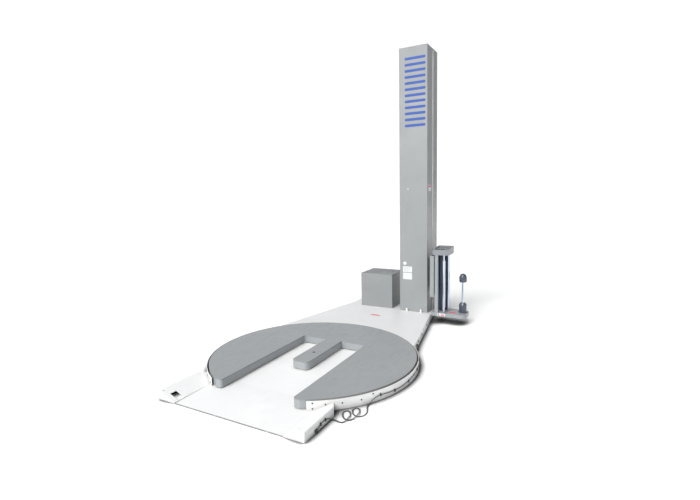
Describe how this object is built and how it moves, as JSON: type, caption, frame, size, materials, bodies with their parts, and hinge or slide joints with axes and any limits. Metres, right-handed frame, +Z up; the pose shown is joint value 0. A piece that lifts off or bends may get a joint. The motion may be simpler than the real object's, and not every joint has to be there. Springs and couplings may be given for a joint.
{
  "type": "turntable pallet wrapper",
  "caption": "Low turntable with fork slots and entry ramp, bridge, tall mast with a lifting stretch-film carriage, and a control box.",
  "frame": {"origin": "on the floor, under the turntable's pivot", "axes": "+X right, towards the film carriage; +Y from the turntable to the mast; +Z up"},
  "size_m": [1.7329, 2.949, 2.835],
  "materials": {
    "deck_paint": "satin",
    "deck_side_paint": "satin",
    "base_paint": "satin",
    "mast_paint": "satin",
    "box_paint": "satin",
    "carriage_paint": "satin",
    "head_paint": "satin",
    "structure_steel": "satin",
    "bolt_steel": "satin",
    "screw_black": "matte",
    "chrome": "polished",
    "roller_rubber": "matte",
    "gear_steel": "machined",
    "wheel_plastic": "matte",
    "tyre_rubber": "matte",
    "core_plastic": "matte",
    "cable_sheath": "matte",
    "fitting_plastic": "matte",
    "motor_paint": "semi-gloss",
    "chain_steel": "oiled",
    "component_grey": "matte",
    "panel_plastic": "matte",
    "green_plastic": "gloss",
    "red_plastic": "gloss",
    "black_plastic": "matte"
  },
  "bodies": {
    "base": {"floor_plate": "base_paint", "entry_ramp": "base_paint", "left_wing": "base_paint", "right_wing": "base_paint", "left_skirt": "base_paint", "right_skirt": "base_paint", "base_screws": "screw_black", "bridge_frame": "base_paint", "bridge_cover": "base_paint", "pivot_post": "structure_steel", "pivot_screw": "bolt_steel", "sensor_cable": "cable_sheath", "cable_fittings": "fitting_plastic", "mast_front_cover": "mast_paint", "mast_rear_cover": "mast_paint", "mast_column": "structure_steel", "mast_cap": "mast_paint", "foot_bolts": "bolt_steel", "lift_motor": "motor_paint", "lift_chain": "chain_steel", "control_box": "box_paint", "component_plate": "component_grey", "operator_panel": "panel_plastic", "left_drive_motor": "motor_paint", "right_drive_motor": "motor_paint"},
    "turntable": {"deck_plate": "deck_paint", "deck_frame": "deck_side_paint", "pivot_hub": "structure_steel", "wheel_brackets": "structure_steel"},
    "left_drive": {"left_drive_wheel": "tyre_rubber"},
    "right_drive": {"right_drive_wheel": "tyre_rubber"},
    "carriage": {"carriage_slider": "structure_steel", "carriage_frame": "carriage_paint", "carriage_pan": "carriage_paint", "carriage_post": "carriage_paint", "carriage_head": "head_paint", "roller_brake": "structure_steel"},
    "feed_roller_set": {"feed_roller": "roller_rubber", "feed_gear": "gear_steel"},
    "stretch_roller_set": {"stretch_roller": "roller_rubber", "stretch_gear": "gear_steel"},
    "front_chrome": {"front_chrome_roller": "chrome"},
    "rear_chrome": {"rear_chrome_roller": "chrome"},
    "spindle": {"spindle_shaft": "chrome", "spindle_cone": "core_plastic", "spindle_plug": "core_plastic"},
    "lower_sprocket": {"drive_sprocket": "gear_steel"},
    "upper_sprocket": {"idler_sprocket": "gear_steel"},
    "start": {"start_button": "green_plastic"},
    "stop": {"stop_button": "red_plastic"},
    "emergency": {"emergency_stop": "red_plastic"},
    "isolator": {"main_switch": "black_plastic"},
    "door": {"box_door": "box_paint"},
    "latch": {"door_latch": "black_plastic"},
    "wheel_1": {"support_wheel_1": "wheel_plastic"},
    "wheel_2": {"support_wheel_2": "wheel_plastic"},
    "wheel_3": {"support_wheel_3": "wheel_plastic"},
    "wheel_4": {"support_wheel_4": "wheel_plastic"},
    "wheel_5": {"support_wheel_5": "wheel_plastic"},
    "wheel_6": {"support_wheel_6": "wheel_plastic"}
  },
  "joints": [
    {"name": "table_turn", "type": "hinge", "parent": "base", "child": "turntable", "pos_m": [0, 0, 0.067], "axis": [0, 0, 1], "continuous": true},
    {"name": "wheel_1_roll", "type": "hinge", "parent": "turntable", "child": "wheel_1", "pos_m": [0.40659, -0.40659, 0.032], "axis": [0.7071, -0.7071, 0], "continuous": true},
    {"name": "wheel_2_roll", "type": "hinge", "parent": "turntable", "child": "wheel_2", "pos_m": [0.575, 0, 0.032], "axis": [1, 0, 0], "continuous": true},
    {"name": "wheel_3_roll", "type": "hinge", "parent": "turntable", "child": "wheel_3", "pos_m": [0.40659, 0.40659, 0.032], "axis": [0.7071, 0.7071, 0], "continuous": true},
    {"name": "wheel_4_roll", "type": "hinge", "parent": "turntable", "child": "wheel_4", "pos_m": [-0.40659, 0.40659, 0.032], "axis": [-0.7071, 0.7071, 0], "continuous": true},
    {"name": "wheel_5_roll", "type": "hinge", "parent": "turntable", "child": "wheel_5", "pos_m": [-0.575, 0, 0.032], "axis": [-1, 0, 0], "continuous": true},
    {"name": "wheel_6_roll", "type": "hinge", "parent": "turntable", "child": "wheel_6", "pos_m": [-0.40659, -0.40659, 0.032], "axis": [-0.7071, -0.7071, 0], "continuous": true},
    {"name": "right_drive_turn", "type": "hinge", "parent": "base", "child": "right_drive", "pos_m": [0.44265, 0.76669, 0.055], "axis": [0, 0, 1], "continuous": true},
    {"name": "left_drive_turn", "type": "hinge", "parent": "base", "child": "left_drive", "pos_m": [-0.44265, 0.76669, 0.055], "axis": [0, 0, 1], "continuous": true},
    {"name": "carriage_lift", "type": "slide", "parent": "base", "child": "carriage", "axis": [0, 0, 1], "range_m": [0, 2]},
    {"name": "lower_sprocket_turn", "type": "hinge", "parent": "base", "child": "lower_sprocket", "pos_m": [0.354, 1.699, 0.18], "axis": [-1, 0, 0], "range_deg": [0, 2292]},
    {"name": "upper_sprocket_turn", "type": "hinge", "parent": "base", "child": "upper_sprocket", "pos_m": [0.354, 1.699, 2.72], "axis": [-1, 0, 0], "range_deg": [0, 2292]},
    {"name": "feed_turn", "type": "hinge", "parent": "carriage", "child": "feed_roller_set", "pos_m": [0.608, 1.55, 0.412], "axis": [0, 0, 1], "continuous": true},
    {"name": "stretch_turn", "type": "hinge", "parent": "carriage", "child": "stretch_roller_set", "pos_m": [0.64953, 1.60511, 0.412], "axis": [0, 0, 1], "continuous": true},
    {"name": "front_chrome_turn", "type": "hinge", "parent": "carriage", "child": "front_chrome", "pos_m": [0.661, 1.473, 0.412], "axis": [0, 0, 1], "continuous": true},
    {"name": "rear_chrome_turn", "type": "hinge", "parent": "carriage", "child": "rear_chrome", "pos_m": [0.685, 1.565, 0.412], "axis": [0, 0, 1], "continuous": true},
    {"name": "spindle_turn", "type": "hinge", "parent": "carriage", "child": "spindle", "pos_m": [0.836, 1.556, 0.165], "axis": [0, 0, 1], "continuous": true},
    {"name": "start_press", "type": "slide", "parent": "base", "child": "start", "axis": [1, 0, 0], "range_m": [0, 0.003], "stiffness_N_per_m": 400},
    {"name": "stop_press", "type": "slide", "parent": "base", "child": "stop", "axis": [1, 0, 0], "range_m": [0, 0.003], "stiffness_N_per_m": 400},
    {"name": "emergency_press", "type": "slide", "parent": "base", "child": "emergency", "axis": [1, 0, 0], "range_m": [0, 0.005]},
    {"name": "isolator_turn", "type": "hinge", "parent": "base", "child": "isolator", "pos_m": [-0.314, 1.7, 0.3], "axis": [-1, 0, 0], "range_deg": [0, 90]},
    {"name": "door_swing", "type": "hinge", "parent": "base", "child": "door", "pos_m": [-0.302, 1.894, 0.262], "axis": [0, 0, 1], "range_deg": [0, 110]},
    {"name": "latch_turn", "type": "hinge", "parent": "door", "child": "latch", "pos_m": [0.031, 1.89, 0.262], "axis": [0, 1, 0], "range_deg": [0, 90]}
  ],
  "couplings": [
    {"joint": "wheel_1_roll", "follows": "table_turn", "ratio": -23.958},
    {"joint": "wheel_2_roll", "follows": "table_turn", "ratio": -23.958},
    {"joint": "wheel_3_roll", "follows": "table_turn", "ratio": -23.958},
    {"joint": "wheel_4_roll", "follows": "table_turn", "ratio": -23.958},
    {"joint": "wheel_5_roll", "follows": "table_turn", "ratio": -23.958},
    {"joint": "wheel_6_roll", "follows": "table_turn", "ratio": -23.958},
    {"joint": "right_drive_turn", "follows": "table_turn", "ratio": -13.75},
    {"joint": "left_drive_turn", "follows": "table_turn", "ratio": -13.75},
    {"joint": "lower_sprocket_turn", "follows": "carriage_lift", "rad_per_m": 20},
    {"joint": "upper_sprocket_turn", "follows": "carriage_lift", "rad_per_m": 20},
    {"joint": "stretch_turn", "follows": "feed_turn", "ratio": -1.5556}
  ]
}
